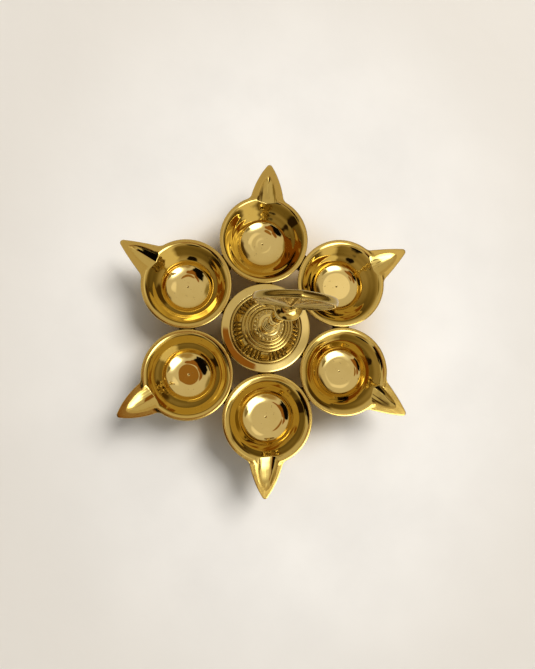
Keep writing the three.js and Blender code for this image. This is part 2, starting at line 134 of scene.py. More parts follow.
class CentreSizes(bpy.types.PropertyGroup):
    seat_radius: length("Seat radius", 20.1, "Recess in the flange that the dome sits in")
    seat_depth: length("Seat depth", 1.2, "Depth of that recess")
    flange_fall: length("Flange fall", 0.22, "How far the flange's top falls to its edge")
    flange_uneven: length("Flange unevenness", 0.42, "How much more it falls on its worn side")
    fit_gap: length("Fit gap", 0.3, "Clearance between fitted pieces")
    shoulder_radius: length("Shoulder radius", 19, "Underside of the flange")
    shoulder_drop: length("Shoulder drop", 7.5, "Depth there, below the rim")
    waist_radius: length("Waist radius", 13.6, "Narrowest part of the bell")
    waist_depth: length("Waist depth", 15, "Depth of the waist below the rim")
    waist_band: length("Waist band", 2.5, "Height of the straight waist")
    foot_radius: length("Foot radius", 21, "Outside of the bell's foot")
    foot_edge: length("Foot edge", 2.2, "Upright edge of the foot")
    wall: length("Wall", 2.6, "Thickness of the bell's wall")
    deck: length("Deck", 3.2, "Metal under the dome's seat")
    bore_radius: length("Bore radius", 2.3, "Hole for the tie stud")
    bead_width: length("Bead width", 1.4, "Round bead at the foot of the dome")
    bead_height: length("Bead height", 0.8, "Its height above the rims")
    reed_top_radius: length("Reed top radius", 13.9, "Top of the reeded band")
    reed_top: length("Reed top height", 8.4, "Its height above the rims")
    reed_bulge: length("Reed bulge", 0.9, "How far the band swells")
    reed_relief: length("Reed relief", 0.9, "Depth of the grooves between the reeds")
    ring_rise: length("Ring rise", 1.55, "Height from one turned ring to the next")
    dome_top_radius: length("Dome top radius", 8.4, "Flat top under the collar")
    dome_top: length("Dome top height", 13.2, "Its height above the rims")


class StemSizes(bpy.types.PropertyGroup):
    collar_neck: length("Collar neck radius", 6.6, "Neck under the pearls")
    pearl_ring: length("Pearl ring radius", 7.25, "Circle that the pearls sit on")
    pearl_height: length("Pearl height", 17.4, "Height of the pearls above the rims")
    pearl_radius: length("Pearl radius", 0.8, "Radius of one pearl")
    collar_top_radius: length("Collar top radius", 6.4, "Top edge of the collar")
    collar_top: length("Collar top height", 20.2, "Its height above the rims")
    split: length("Stem split", 50, "Height where the two stem pieces meet")
    knob_base: length("Knob base", 92, "Height of the stem's top above the rims")
    knob_radius: length("Knob radius", 5.6, "Widest part of the knob")
    knob_height: length("Knob height", 4.2, "Height of the knob")


class PlateSizes(bpy.types.PropertyGroup):
    half_width: length("Half width", 14.6, "Half the plate's width")
    widest: length("Widest height", 110.5, "Height of its widest part above the rims")
    top: length("Top height", 125, "Its top above the rims")
    neck_half: length("Neck half width", 3, "Half the width where it stands on the knob")
    root_rise: length("Rib root", 3.7, "Where the ribs start, above the plate's bottom")
    rim_thickness: length("Rim thickness", 2.6, "Thickness of the raised border")
    rim_width: length("Rim width", 1.5, "Width of the raised border")
    web: length("Web", 1.2, "Thickness of the field inside the border")
    rib_thickness: length("Rib thickness", 2.2, "Thickness over the ribs")
    rib_half: length("Rib half width", 1, "Half a rib's width at its outer end")


class LampSettings(bpy.types.PropertyGroup):
    cup: PointerProperty(type=CupSizes)
    spout: PointerProperty(type=SpoutSizes)
    centre: PointerProperty(type=CentreSizes)
    stem: PointerProperty(type=StemSizes)
    plate: PointerProperty(type=PlateSizes)
    panels: IntProperty(name="Panels", description="Plain panels in the reeded band", default=7)
    pearls: IntProperty(name="Pearls", description="Pearls round the collar", default=22)
    plate_turn: turn("Plate turn", -6, "How far the plate is turned about the stem")
    brass: colour("Brass", "#E8D28C", "Clean polished brass")
    # Deeper copy of the brass: random patches, and painted shade where a mesh asks for it
    brass_patchy_and_shaded: colour("Patchy and shaded brass", "#D9C070", "Deeper brass for random patches and for painted shade")
    # Deeper copy of the brass, painted as shade on the satin filed parts
    brass_filed: colour("Filed and shaded brass", "#CFB05E", "Brass that was filed and only lightly buffed")
    # Dark colour for painted shade in creases, grooves and recesses, and for small pits and marks
    grime: colour("Shade and marks", "#2A1806", "Dark colour of painted shade in creases and recesses, and of pits and marks")
    braze: colour("Braze", "#4A3518", "Oxidised brazing metal between the rims")
    steel: colour("Steel", "#9A9A95", "Turned steel of the stud, washer and nut")
    floor: colour("Floor", "#F5F3EE", "Pale limewashed plaster")
    # Painted light falloff, darker away from the lamp
    floor_painted_falloff: colour("Painted falloff", "#E3DFD7", "Plaster painted darker away from the lamp, as light falloff")
    # Painted warm bounce light from the brass and shade under the lamp
    floor_painted_bounce: colour("Painted bounce", "#D2BB92", "Plaster painted warm and darker near the lamp, as bounce light and shade")
    polish: amount("Polish", 0.035, "Roughness of the polished brass")
    satin: amount("Satin", 0.16, "Roughness where the brass was only filed")


# Mesh helpers. Every shape is worked out in millimetres, with heights from the rim plane.


def unit(values):
    return np.clip(values, 0, 1)


def curved(start, pull, end, share):
    """A place on the quadratic curve from start to end, bent towards its pull."""
    return (1 - share) ** 2 * start + 2 * share * (1 - share) * pull + share**2 * end


def curve_points(controls, count):
    start, pull, end = np.array(controls, float)
    return curved(start, pull, end, np.linspace(0, 1, count)[:, None])


def softened(corners, softness, steps=4):
    """A smooth (radius, height) outline: each corner is rounded over its own third value, or
    over the softness given here."""
    points = [np.array(corners[0][:2], float)]
    for before, corner, after in zip(corners, corners[1:], corners[2:]):
        own = corner[2] if len(corner) > 2 else softness
        here = np.array(corner[:2], float)
        back = np.array(before[:2], float) - here
        ahead = np.array(after[:2], float) - here
        start = here + back * min(0.48, own / np.linalg.norm(back))
        end = here + ahead * min(0.48, own / np.linalg.norm(ahead))
        points.extend(curved(start, here, end, share) for share in np.linspace(0, 1, steps + 1))
    points.append(np.array(corners[-1][:2], float))
    return np.array(points)


def refined(points, step):
    """The same outline with no gap between points longer than a step."""
    made = [points[0]]
    for start, end in zip(points, points[1:]):
        parts = max(1, math.ceil(np.linalg.norm(end - start) / step))
        made.extend(start + (end - start) * k / parts for k in range(1, parts + 1))
    return np.array(made)


def blend_max(one, other, reach):
    """The larger of two heights, rounded over a reach where they cross."""
    near = np.clip(reach - np.abs(one - other), 0, None) / reach
    return np.maximum(one, other) + near * near * reach / 4


def full_turn(sides):
    return np.linspace(0, 2 * math.pi, sides, endpoint=False)


def ring(radius, height, angles):
    """Points round the axis, one for each angle. The radius and height may differ among them."""
    return np.stack([radius * np.cos(angles), radius * np.sin(angles), height + 0 * angles], axis=-1)


def rings_of(outline, angles):
    return np.stack([ring(radius, height, angles) for radius, height in outline])


def skin(name, rings, joined=False, **shade_masks):
    """A smooth closed mesh over rings of equally many points. A point closes each end, unless the last ring
    is joined to the first. The shade masks are the painted dark shade and marks, the painted shaded tone, and
    the filed parts with their painted deeper brass, each as values from 0 to 1 for all points or one for the
    whole piece."""
    ring_count, ray_count = rings.shape[:2]
    points = rings.reshape(-1, 3)
    here = np.arange(ray_count)
    after = (here + 1) % ray_count
    low = np.arange(ring_count if joined else ring_count - 1)[:, None] * ray_count
    high = (low + ray_count) % len(points)
    quads = np.stack([low + here, low + after, high + after, high + here], axis=-1)
    quads = quads.reshape(-1, 4).tolist()
    shade_masks = {key: (np.zeros(rings.shape[:2]) + value).reshape(-1) for key, value in shade_masks.items()}
    if not joined:
        first_end = len(points)
        top = first_end - ray_count
        points = np.concatenate([points, [rings[0].mean(axis=0), rings[-1].mean(axis=0)]])
        shade_masks = {key: np.append(value, [value[0], value[-1]]) for key, value in shade_masks.items()}
        quads += [[first_end, int(b), int(a)] for a, b in zip(here, after)]
        quads += [[first_end + 1, int(top + a), int(top + b)] for a, b in zip(here, after)]
    mesh = bpy.data.meshes.new(name)
    mesh.from_pydata((points * MM).tolist(), [], quads)
    shape = bmesh.new()
    shape.from_mesh(mesh)
    bmesh.ops.recalc_face_normals(shape, faces=shape.faces)
    shape.to_mesh(mesh)
    shape.free()
    mesh.shade_smooth()
    for key, value in shade_masks.items():
        mesh.attributes.new(key, "FLOAT", "POINT").data.foreach_set("value", value)
    piece = bpy.data.objects.new(name, mesh)
    bpy.context.scene.collection.objects.link(piece)
    return piece


def turned(name, corners, softness, sides=96, step=0.6, joined=False, toned=0.4, filed=0.0):
    """A lathe-turned piece from its corners."""
    outline = refined(softened(corners, softness), step)
    # Turned pieces are painted partly in the deeper shaded tone unless told otherwise.
    return skin(name, rings_of(outline, full_turn(sides)), joined, toned=toned, filed=filed)


def dress(piece, finish, node):
    """Gives a piece its finish and its body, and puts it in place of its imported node."""
    piece.data.materials.append(finish)
    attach(piece, BODY)
    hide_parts(node)


def settle(piece, finish, node, place=Matrix()):
    """Keeps each point's place on the lathe for the finish, moves the mesh to its place in the
    lamp, and dresses it."""
    mesh = piece.data
    points = np.empty(3 * len(mesh.vertices))
    mesh.vertices.foreach_get("co", points)
    own_place = mesh.attributes.new("own_place", "FLOAT_VECTOR", "POINT")
    own_place.data.foreach_set("vector", points)
    mesh.transform(Matrix.Translation((0, 0, RIM_PLANE)) @ place)
    dress(piece, finish, node)


# Materials, with the widths of their patterns in millimetres

WEAR_PATCH = 9
POLISH_SMEAR = 2.5
BUFFING_WAVE = 11
PIT_SPACING = 2.0
TROWEL_WAVE = 70
HAIRLINE = 4


def add_node(tree, kind, inputs=None, **settings):
    """One shader node with its settings. An input is a value, the socket that feeds it, or a
    node, whose first output in use feeds it."""
    node = tree.nodes.new("ShaderNode" + kind)
    for key, value in settings.items():
        setattr(node, key, value)
    for key, value in (inputs or {}).items():
        if isinstance(value, bpy.types.Node):
            value = next(socket for socket in value.outputs if socket.enabled)
        if isinstance(value, bpy.types.NodeSocket):
            tree.links.new(value, node.inputs[key])
        else:
            node.inputs[key].default_value = value
    return node


def empty_tree(owner):
    """Clears the nodes of a material or world, and returns what adds a node to it."""
    owner.use_nodes = True
    owner.node_tree.nodes.clear()
    return partial(add_node, owner.node_tree)


def per_mm(millimetres):
    """Texture scale, for coordinates in metres, whose cells are this wide."""
    return 1 / (millimetres * MM)


def scaled(tint, strength):
    return (*(strength * value for value in tint[:3]), 1.0)


def brass_finish(name, settings, polish, lathe_pitch):
    """Brass buffed on a wheel: a bright mirror with slightly uneven polish, faint lathe lines and small
    casting pits, with painted shade from the mesh's masks: deeper shaded copies of the brass, and a dark
    colour in creases and recesses."""
    material = bpy.data.materials.new(name)
    add = empty_tree(material)
    place = add("Attribute", attribute_name="own_place").outputs["Vector"]
    # The mesh's masks paint shade: a deeper tone, a deeper filed brass, and a dark colour in creases and
    # recesses.
    toned, filed, shade_and_mark_mask = (
        add("Attribute", attribute_name=key).outputs["Fac"] for key in ("toned", "filed", "grime")
    )
    patches, smears, waves = (
        add("TexNoise", {"Vector": place, "Scale": per_mm(width), "Detail": detail, "Roughness": rough})
        for width, detail, rough in (
            (WEAR_PATCH, 3.0, 0.6), (POLISH_SMEAR, 4.0, 0.65), (BUFFING_WAVE, 1.0, 0.4)
        )
    )
    # The brass is deeper in tone in uneven random patches, and as painted shade where the mesh's shaded tone
    # mask asks for it.
    span = {"Value": patches, "From Min": 0.3, "From Max": 0.7, "To Min": -0.2, "To Max": 0.25}
    deeper = add("Math", {0: toned, 1: add("MapRange", span)}, operation="ADD", use_clamp=True)
    mixed = {"Factor": deeper, "A": settings.brass, "B": settings.brass_patchy_and_shaded}
    tone = add("Mix", mixed, data_type="RGBA")
    # Filed parts get a deeper brass as painted shade; their satin gloss is set below.
    tone = add("Mix", {"Factor": filed, "A": tone, "B": settings.brass_filed}, data_type="RGBA")
    # Casting pits about 0.25 mm wide, mostly where the noise is high.
    worn = add("MapRange", {"Value": patches, "From Min": 0.35, "From Max": 0.75})
    pits = add("TexVoronoi", {"Vector": place, "Scale": per_mm(PIT_SPACING), "Randomness": 1.0})
    pit = add("MapRange", {"Value": pits, "From Min": 0.12, "From Max": 0.06})
    pitted = add("Math", {0: pit, 1: worn}, operation="MULTIPLY")
    dark = add("Math", {0: shade_and_mark_mask, 1: pitted}, operation="MAXIMUM")
    surface = add("Mix", {"Factor": dark, "A": tone, "B": settings.grime}, data_type="RGBA")
    # The gloss is uneven, lower where the brass was only filed, and lost under the painted shade and the
    # pits.
    span = {"From Min": 0.3, "From Max": 0.7, "To Min": 0.6 * polish, "To Max": 1.5 * polish}
    gloss = add("MapRange", {"Value": smears, **span})
    satin = add("Mix", {"Factor": filed, "A": gloss, "B": settings.satin}, data_type="FLOAT")
    dark_share = add("MapRange", {"Value": dark, "From Min": 0.2, "From Max": 1.0})
    dulled = add("Mix", {"Factor": dark_share, "A": satin, "B": 0.5}, data_type="FLOAT")
    # Lathe lines run round the piece's own axis, on walls and floors alike.
    axes = add("SeparateXYZ", {"Vector": place})
    flat = add("CombineXYZ", {"X": axes.outputs["X"], "Y": axes.outputs["Y"]})
    radius = add("VectorMath", {0: flat}, operation="LENGTH")
    along = add("Math", {0: radius, 1: axes.outputs["Z"]}, operation="SUBTRACT")
    lines = {"W": along, "Scale": per_mm(lathe_pitch), "Detail": 2.0}
    grooves = add("TexNoise", lines, noise_dimensions="1D")
    bump = add("Bump", {"Strength": 0.12, "Distance": 0.02 * MM, "Height": grooves})
    # Broad low waves from the buffing wheel.
    bump = add("Bump", {"Strength": 0.45, "Distance": 0.12 * MM, "Height": waves, "Normal": bump})
    shader = {"Base Color": surface, "Metallic": 1.0, "Roughness": dulled, "Normal": bump}
    add("OutputMaterial", {"Surface": add("BsdfPrincipled", shader)})
    return material


def plain_metal(name, tone, roughness, grain):
    """Metal left as it came from the torch or the lathe: dull, mottled and slightly rough."""
    material = bpy.data.materials.new(name)
    add = empty_tree(material)
    place = add("TexCoord").outputs["Object"]
    grains = {"Vector": place, "Scale": per_mm(grain), "Detail": 5.0, "Roughness": 0.7}
    mottle = add("TexNoise", grains)
    mixed = add("Mix", {"Factor": mottle, "A": scaled(tone, 0.45), "B": tone}, data_type="RGBA")
    gloss = add("MapRange", {"Value": mottle, "To Min": 0.7 * roughness, "To Max": 1.3 * roughness})
    bump = add("Bump", {"Strength": 0.6, "Distance": 0.15 * MM, "Height": mottle})
    shader = {"Base Color": mixed, "Metallic": 1.0, "Roughness": gloss, "Normal": bump}
    add("OutputMaterial", {"Surface": add("BsdfPrincipled", shader)})
    return material


def plaster_finish(settings):
    """Limewashed plaster: matt and pale, with broad trowel waves and faint hairlines, painted darker away
    from the lamp and painted warm near it.
    """
    material = bpy.data.materials.new("limewashed_plaster")
    add = empty_tree(material)
    place = add("TexCoord").outputs["Object"]
    broad, fine = (
        add("TexNoise", {"Vector": place, "Scale": per_mm(width), "Detail": detail, "Roughness": rough})
        for width, detail, rough in ((TROWEL_WAVE, 4.0, 0.5), (HAIRLINE, 6.0, 0.65))
    )
    wash = add("MapRange", {"Value": broad, "From Min": 0.3, "From Max": 0.7})
    mixed = {"Factor": wash, "A": scaled(settings.floor, 0.9), "B": settings.floor}
    tone = add("Mix", mixed, data_type="RGBA")
    # The plaster is painted darker away from the lamp, as light falloff, and painted warm and darker close to
    # it, as the brass's bounce light and the shade under the lamp.
    spread_out = add("Mapping", {"Vector": place, "Location": (-0.02, 0, 0), "Scale": (1, 0.75, 1)})
    for where, start, end, tint in (
        (spread_out, 0.09, 0.2, settings.floor_painted_falloff),
        (place, 0.085, 0.035, settings.floor_painted_bounce),
    ):
        away = add("VectorMath", {0: where}, operation="LENGTH")
        span = {"Value": away, "From Min": start, "From Max": end}
        share = add("MapRange", span, interpolation_type="SMOOTHSTEP")
        tone = add("Mix", {"Factor": share, "A": tone, "B": tint}, data_type="RGBA")
    bump = add("Bump", {"Strength": 0.1, "Distance": 0.2 * MM, "Height": fine})
    bump = add("Bump", {"Strength": 0.35, "Distance": 3 * MM, "Height": broad, "Normal": bump})
    shader = {"Base Color": tone, "Roughness": 0.75, "Normal": bump}
    add("OutputMaterial", {"Surface": add("BsdfPrincipled", shader)})
    return material


def finish_named(name):
    """A material made once, on its first use."""
    known = bpy.data.materials.get(name)
    if known:
        return known
    settings = bpy.context.scene.lamp_settings
    if name == "cast_brass_polished":
        return brass_finish(name, settings, settings.polish, 0.35)
    if name == "turned_brass_bright":
        return brass_finish(name, settings, 0.8 * settings.polish, 0.25)
    if name == "braze_oxidised":
        return plain_metal(name, settings.braze, 0.55, 1.2)
    if name == "steel_turned":
        return plain_metal(name, settings.steel, 0.35, 0.8)
    raise ValueError(f"no finish is named {name}")


# Cup. In millimetres from its axis: where the spout's outline starts inside the rim, where its
# curved side starts, where the belly is clear of the rim, and where the belly meets the neck.

SPOUT_START = 21.7
SIDE_START = 24
BELLY_START = 23.2
NECK_TOP = 10.6


def spout_outline(spout, own):
    """Half the spout seen from above, as points (distance from the cup's axis, half width)."""
    tip_centre = own.reach - spout.tip_radius
    turns = np.radians(np.linspace(30, 90, 9))
    across = spout.tip_radius * np.cos(turns)
    tip = np.stack([tip_centre + spout.tip_radius * np.sin(turns), across], axis=1)
    shoulder = (own.reach - spout.shoulder_back, own.shoulder)
    side = curve_points([(SIDE_START, spout.root_half), shoulder, tip[0]], 30)
    return np.concatenate([[(SPOUT_START, spout.root_half + 1)], side, tip[1:]])


def bowl_outline(cup, own):
    """The bowl's inside as (radius, depth), from the middle out to past its rounded edge."""
    edge_depth = cup.bowl_depth - own.dish_rise
    band_drop = own.band * cup.band_slope
    bend_depth = band_drop + (own.edge - own.bend) * own.high
    foot_depth = bend_depth + (own.bend - own.foot) * own.low
    dish_pull = (own.disc + 0.5 * (own.dish - own.disc), cup.bowl_depth)
    dish = curve_points([(own.disc, cup.bowl_depth), dish_pull, (own.dish, edge_depth)], 12)
    lip = own.edge + own.band
    corners = [
        tuple(dish[-2]), (own.dish, edge_depth, 0.35), (own.foot, foot_depth, 0.6),
        (own.bend, bend_depth, 0.8), (own.edge, band_drop, own.round), (lip, 0, 0.35), (lip + 1, 0),
    ]
    wall = softened(corners, 0.5, 10)[:-1]
    beyond = (wall[-1][0] + 4, -1.6)
    return np.concatenate([[(0, cup.bowl_depth)], dish[:-2], wall, [beyond]])


def trough_edge(cup, own, x):
    """Half the wick trough's width at each distance from the cup's axis."""
    root = (cup.rim_radius - 3, own.trough)
    bend = (own.trough_end - 4, 0.8 * own.trough)
    side = curve_points([root, bend, (own.trough_end, 0.08 * own.trough)], 24)
    return np.interp(x, side[:, 0], side[:, 1])


def trough_depths(cup, own, x, y):
    """Depth of the wick trough below the rim plane, which is negative beside it. Its deepest
    line lies a share of the half width off the middle, and rises towards the tip."""
    half = trough_edge(cup, own, x)
    from_line = y - own.skew * half
    half = half - own.skew * half * np.sign(from_line)
    stations = (20, 27, 26 + 0.6 * (own.trough_end - 26), own.trough_end)
    floor = np.interp(x, stations, (own.deep, own.deep, 0.8 * own.deep, 0.5 * own.deep))
    share = unit((x - cup.rim_radius) / (own.trough_end - cup.rim_radius))
    floor = floor * (1 - 0.97 * share**7)
    across = np.clip(np.abs(from_line) / half, 0, 3)
    depth = floor * (1 - own.valley * across - (1 - own.valley) * across**2)
    depth = np.where(x > own.trough_end, -0.3 - (x - own.trough_end), depth)
    return np.where(x < 0.5 * cup.rim_radius, -3.0, depth)


def keel_depths(spout, own, outline, x, y):
    """Depth of the spout's underside below the rim plane, well above it beside the spout."""
    share = unit((x - SPOUT_START) / (own.reach - SPOUT_START))
    keel = spout.root_depth + (spout.tip_depth - spout.root_depth) * share
    edge = np.minimum(spout.edge_depth, keel / 2)
    half = np.maximum(np.interp(x, outline[:, 0], outline[:, 1]), 0.05)
    across = np.abs(y) / half
    inside = edge + (keel - edge) * unit(1 - across**2) ** 0.75
    beside = edge - 1.5 * (np.abs(y) - half)
    depth = np.where(across <= 1, inside, beside)
    return np.where(x < SPOUT_START, np.minimum(depth, edge - 3 * (SPOUT_START - x)), depth)


def last_above(radii, values, otherwise):
    """Along each ray, the largest of the radii where the value is above zero."""
    above = values > 0
    last = len(radii) - 1 - np.argmax(above[::-1], axis=0)
    return np.where(above.any(axis=0), radii[last], otherwise)


def spread(start, end, count):
    """Radii from each start up to, but not at, each end."""
    share = (np.arange(count) / count)[:, None]
    return start + (end - start) * share


def cup_top(cup, spout, own, seed, angles, outside):
    """Radii and depths of the cup's top side, in rings that follow the line where the bowl
    meets the trough, and the trough's end."""
    lip = own.edge + own.band
    bowl = bowl_outline(cup, own)
    scan = np.arange(15, own.reach, 0.02)
    reached = scan[:, None]
    scan_trough = trough_depths(cup, own, reached * np.cos(angles), reached * np.sin(angles))
    scan_bowl = np.interp(scan, bowl[:, 0], bowl[:, 1])[:, None]
    meets = last_above(scan, scan_bowl - np.maximum(scan_trough, 0), lip)
    ends = np.maximum(last_above(scan, scan_trough, lip), meets + 0.9)
    ends = np.minimum(ends, outside - cup.rim_round - 0.1)
    fixed = np.concatenate(
        [
            [0.12, 0.3, 0.42, 0.55, 0.9],
            np.arange(1.5, own.disc - 0.3, 0.8),
            np.linspace(own.disc - 0.3, own.dish - 0.4, 20),
            np.linspace(own.dish - 0.25, own.foot + 0.8, 18),
            np.linspace(own.foot + 1.1, 18.5, 10),
        ]
    )
    stops = (18.8, meets - 0.4, meets + 0.4, ends - 0.4, ends + 0.1, outside - cup.rim_round)
    spans = [spread(*span) for span in zip(stops, stops[1:], (16, 8, 12, 6, 5))]
    radii = np.concatenate([np.repeat(fixed[:, None], len(angles), axis=1), *spans])
    x = radii * np.cos(angles)
    y = radii * np.sin(angles)
    bowl_here = np.interp(radii, bowl[:, 0], bowl[:, 1])
    hollow = blend_max(bowl_here, trough_depths(cup, own, x, y), 0.22)
    beside = unit((np.abs(y) - trough_edge(cup, own, x)) / 3) * unit((x - cup.rim_radius + 2) / 4)
    crown = cup.rim_crown * np.clip((radii - lip) / (cup.rim_radius - lip), 0, 1.3) ** 1.5
    depth = blend_max(hollow, np.maximum(spout.lip_fall * beside**1.2, crown), 0.3)
    # The centre mark that the lathe leaves, and the small flat that facing the middle leaves.
    depth = depth + 0.45 * unit(1 - radii / 0.45)
    depth = depth + 0.06 * unit((own.flat + 0.4 - radii) / 0.5)
    depth = depth + hand_waves(x, y, seed) * unit(0.2 + depth)
    in_trough = (radii > meets) * np.clip(depth - 0.2, 0, 0.5) * 2
    return radii, depth + file_marks(y, seed) * in_trough


def cup_mesh(name, settings, own, seed):
    """One cup with its spout along +X: rings run from the middle of the bowl over the lip and
    the trough to the outline, and back underneath to the middle of the foot."""
    cup = in_millimetres(settings.cup)
    spout = in_millimetres(settings.spout)
    fine = np.radians(np.arange(-27, 27, 0.5))
    angles = np.concatenate([fine, np.radians(np.linspace(27, 333, 88, endpoint=False))])
    off_axis = np.abs((angles + math.pi) % (2 * math.pi) - math.pi)
    outline = spout_outline(spout, own)
    edge_angles = np.arctan2(outline[:, 1], outline[:, 0])[::-1]
    edge_reach = np.hypot(outline[:, 0], outline[:, 1])[::-1]
    reach = np.interp(off_axis, edge_angles, edge_reach, right=0)
    outside = blend_max(cup.rim_radius, reach, spout.fillet)
    radii, depth = cup_top(cup, spout, own, seed, angles, outside)

    belly_low = (cup.neck_radius + 1.6, cup.bowl_depth + cup.bowl_floor)
    belly_pull = (cup.belly_radius, cup.belly_depth)
    belly = curve_points([belly_low, belly_pull, (cup.rim_radius - 1, 2.3)], 24)
    belly = np.concatenate([belly, [(cup.rim_radius, 1.9), (cup.rim_radius + 4, -6)]])

    def under(radius):
        keel = keel_depths(spout, own, outline, radius * np.cos(angles), radius * np.sin(angles))
        return blend_max(np.interp(radius, belly[:, 0], belly[:, 1]), keel, 1.2)

    low_edge = np.maximum(under(outside) - 0.4, cup.rim_round + 0.3)
    after_edge = outside - 0.5
    rows = []
    for share in np.linspace(0, 1, 6):
        radius = outside - cup.rim_round * (1 - share) ** 2
        rows.append((radius, -depth[-1] - (cup.rim_round - depth[-1]) * share**2))
    for share in (0.35, 0.7):
        rows.append((outside, -cup.rim_round - (low_edge - cup.rim_round) * share))
    for share in np.linspace(0, 1, 5):
        low = curved(low_edge, under(outside), under(after_edge), share)
        rows.append((outside - 0.5 * share**2, -low))
    below = [*spread(after_edge, BELLY_START, 14)[1:], *spread(BELLY_START, NECK_TOP, 24)]
    rows += [(radius, -under(radius)) for radius in below]
    neck = curve_points([(NECK_TOP, -under(NECK_TOP)[0]), (9.6, -14.9), (8.9, -15.9)], 3)[1:]
    foot = [
        tuple(neck[-1]),
        (cup.neck_radius, -cup.neck_depth, 1.2),
        (cup.neck_radius + 0.7, -21.4, 2.2),
        (cup.foot_radius - 0.3, cup.foot_edge + GROUND, 0.4),
        (cup.foot_radius, cup.foot_edge - 0.4 + GROUND, 0.3),
        (cup.foot_radius, GROUND, 0.25),
        (cup.recess_radius, GROUND, 0.25),
        (cup.recess_radius, cup.recess_depth + GROUND, 0.3),
        (0.2, cup.recess_depth + GROUND),
    ]
    rows += [*neck[:-1], *refined(softened(foot, 0.4), 1.0)]
    lower = rings_of(rows, angles)
    rings = np.concatenate([ring(radii, -depth, angles), lower])
    # Painted shade: the deeper filed brass on the rim tops and lips, and the deeper tone on the walls past
    # the dish and all over the underside, which also gets some filed brass.
    on_top = 0.9 * unit((radii - own.edge - own.band + 0.3) / 0.4) * (depth < 0.75)
    filed = np.concatenate([on_top, np.full(lower.shape[:2], 0.3)])
    toned = np.concatenate([unit((radii - own.dish + 0.2) / 0.6), np.full(lower.shape[:2], 0.8)])
    return skin(name, rings, grime=cup_grime(rings, cup), filed=filed, toned=toned)


def cup_grime(rings, cup):
    """Painted shade: darker under the bead and round the neck, and in the centre mark."""
    radius = np.hypot(rings[..., 0], rings[..., 1])
    height = rings[..., 2]
    mark = unit(1.3 - radius / 0.4) * (height > -cup.bowl_depth - 1.2)
    under_bead = unit(1 - np.abs(height + 2.6) / 1.2) * (radius > cup.rim_radius - 2.2)
    neck = unit(1 - np.abs(height + cup.neck_depth) / 3) * (radius < 12)
    return unit(mark + 0.35 * under_bead + 0.2 * neck)


def hand_waves(x, y, seed):
    """Low waves, in millimetres: straight ones from hand filing and round ones, slightly off
    centre, from the turning tool."""
    chance = np.random.default_rng(seed)
    height = np.zeros_like(x)
    for wavelength in (7, 9, 12, 16, 22):
        direction = chance.uniform(0, 2 * math.pi)
        phase = chance.uniform(0, 2 * math.pi)
        run = x * math.cos(direction) + y * math.sin(direction)
        height += 0.0012 * wavelength * np.sin(2 * math.pi * run / wavelength + phase)
    radius = np.hypot(x, y)
    angle = np.arctan2(y, x)
    turned_part = unit((radius - 12.5) / 2) * unit((24 - radius) / 2)
    for wavelength in (2.2, 3.1, 4.7):
        drift = chance.uniform(0.8, 1.6) * np.cos(angle - chance.uniform(0, 2 * math.pi))
        phase = drift + chance.uniform(0, 2 * math.pi)
        ripple = np.sin(2 * math.pi * radius / wavelength + phase)
        height += 0.004 * wavelength * ripple * turned_part
    return height


def file_marks(across, seed):
    """Lengthwise ridges, in millimetres, that the file leaves in the wick trough."""
    chance = np.random.default_rng(100 + seed)
    height = np.zeros_like(across)
    for wavelength in (1.1, 1.7, 2.6, 4.1):
        phase = chance.uniform(0, 2 * math.pi)
        height += 0.003 * wavelength * np.sin(2 * math.pi * across / wavelength + phase)
    return height


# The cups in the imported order, as each was cast and finished by hand. The turn of the spout
# from its spoke is in degrees. In millimetres: the spout's reach and the pull of its sides,
# half the trough's width, its end and its depth, the bowl's flat disc and the small flat in
# its middle, the dish round it and that dish's rise, the foot, bend and upper edge of the wall,
# the rounding there, and the width of the band between the wall and the lip. Valley is how
# far the trough's floor is a V, from 0 for a round floor to 1, skew how far its deepest line
# lies off the middle, and low and high are the wall's slopes below and above its bend.
CupShape = namedtuple(
    "CupShape",
    "turn reach shoulder trough trough_end deep valley skew disc flat dish dish_rise "
    "foot low bend high edge round band",
)
CUPS = [
    (-5.5, 43.4, 7.1, 6.3, 37.2, 1.9, 0.45, 0, 5.2, 3.4, 12.8, 1.6, 13.7, 0.98, 18.2, 1.12, 22.5, 1.2, 0.9),
    (-3.6, 42.9, 5.6, 6.2, 38.0, 1.8, 0.7, -0.15, 5.0, 2.3, 12.4, 1.6, 14.6, 0.7, 16.8, 1.03, 22.0, 0.8, 1.3),
    (-0.1, 43.2, 7.4, 7.0, 37.8, 1.6, 0.3, 0.2, 4.8, 0, 12.5, 1.55, 14.3, 0.84, 18.3, 1.17, 22.0, 0.7, 1.4),
    (-3.0, 43.3, 6.8, 6.9, 39.0, 1.5, 0.1, 0.45, 7.8, 0, 13.3, 1.1, 15.2, 1.12, 17.6, 1.02, 21.2, 0.5, 2.2),
    (-5.6, 42.8, 5.9, 5.6, 36.2, 2.2, 0.6, 0.45, 7.5, 0, 12.5, 1.0, 14.3, 1.15, 18.0, 0.9, 21.5, 0.6, 2.0),
    (-3.8, 42.8, 5.7, 6.5, 37.4, 1.7, 0.5, -0.1, 7.0, 0, 12.5, 1.1, 14.1, 0.92, 17.2, 1.0, 22.0, 0.9, 1.5),
]


